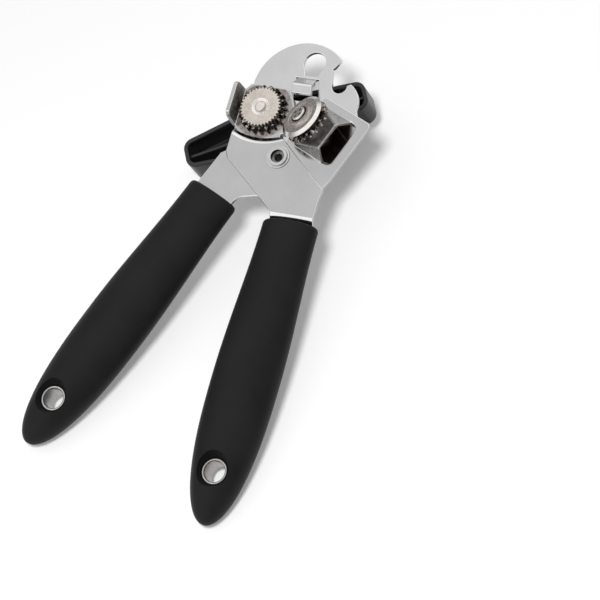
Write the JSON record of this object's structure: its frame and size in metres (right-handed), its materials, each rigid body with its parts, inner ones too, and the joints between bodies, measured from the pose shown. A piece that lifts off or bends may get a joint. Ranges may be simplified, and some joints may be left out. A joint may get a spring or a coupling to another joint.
{
  "type": "manual can opener",
  "caption": "Hand-held lever can opener with turning key, toothed feed wheel, tilted cutting disc, bottle-opener head and rounded grips with hang holes.",
  "frame": {"origin": "centre of the right grip's hang hole, halfway along its eyelet", "axes": "+Y from the grips to the head, midway between the two levers; +Z towards the side with the toothed wheels, along the levers' hinge; +X from the left grip to the right grip"},
  "size_m": [0.104, 0.206, 0.0459],
  "materials": {
    "lever_steel": "satin bright plate over stamped steel sheet",
    "bearing_steel": "turned steel, lightly oiled",
    "feed_steel": "pressed, warm nickel tone",
    "cutter_steel": "hardened, dark nickel",
    "key_plastic": "moulded, semi-gloss black",
    "grip_plastic": "fine matte soft-touch black",
    "eyelet_steel": "bright plate"
  },
  "bodies": {
    "drive_side": {"drive_lever_plate": "lever_steel", "head_plate": "lever_steel", "pivot_rivet": "bearing_steel", "pivot_washers": "bearing_steel", "drive_bushing": "bearing_steel", "right_grip": "grip_plastic", "right_eyelet": "eyelet_steel"},
    "cutter_side": {"cutter_lever_plate": "lever_steel", "cutter_axle": "bearing_steel", "cutter_spacer": "bearing_steel", "cutter_backing_washer": "bearing_steel", "left_grip": "grip_plastic", "left_eyelet": "eyelet_steel"},
    "drive_train": {"drive_wheel": "feed_steel", "drive_gear": "bearing_steel", "drive_shaft": "bearing_steel", "drive_thrust_washer": "bearing_steel", "key_spring_washer": "bearing_steel", "turning_key": "key_plastic", "key_insert": "bearing_steel", "key_washer": "bearing_steel"},
    "cutter_unit": {"cutter_wheel": "cutter_steel", "cutter_gear": "cutter_steel"}
  },
  "joints": [
    {"name": "handle_hinge", "type": "hinge", "parent": "drive_side", "child": "cutter_side", "pos_m": [-0.03954, 0.13122, 0], "axis": [0, 0, 1], "range_deg": [-16, 18.6]},
    {"name": "drive_spin", "type": "hinge", "parent": "drive_side", "child": "drive_train", "pos_m": [-0.05686, 0.14869, 0], "axis": [0, 0, 1], "continuous": true},
    {"name": "cutter_spin", "type": "hinge", "parent": "cutter_side", "child": "cutter_unit", "pos_m": [-0.03028, 0.14814, 0.00379], "axis": [-0.4905, 0.0971, 0.866], "continuous": true}
  ],
  "couplings": [
    {"joint": "cutter_spin", "follows": "drive_spin", "ratio": -1}
  ]
}
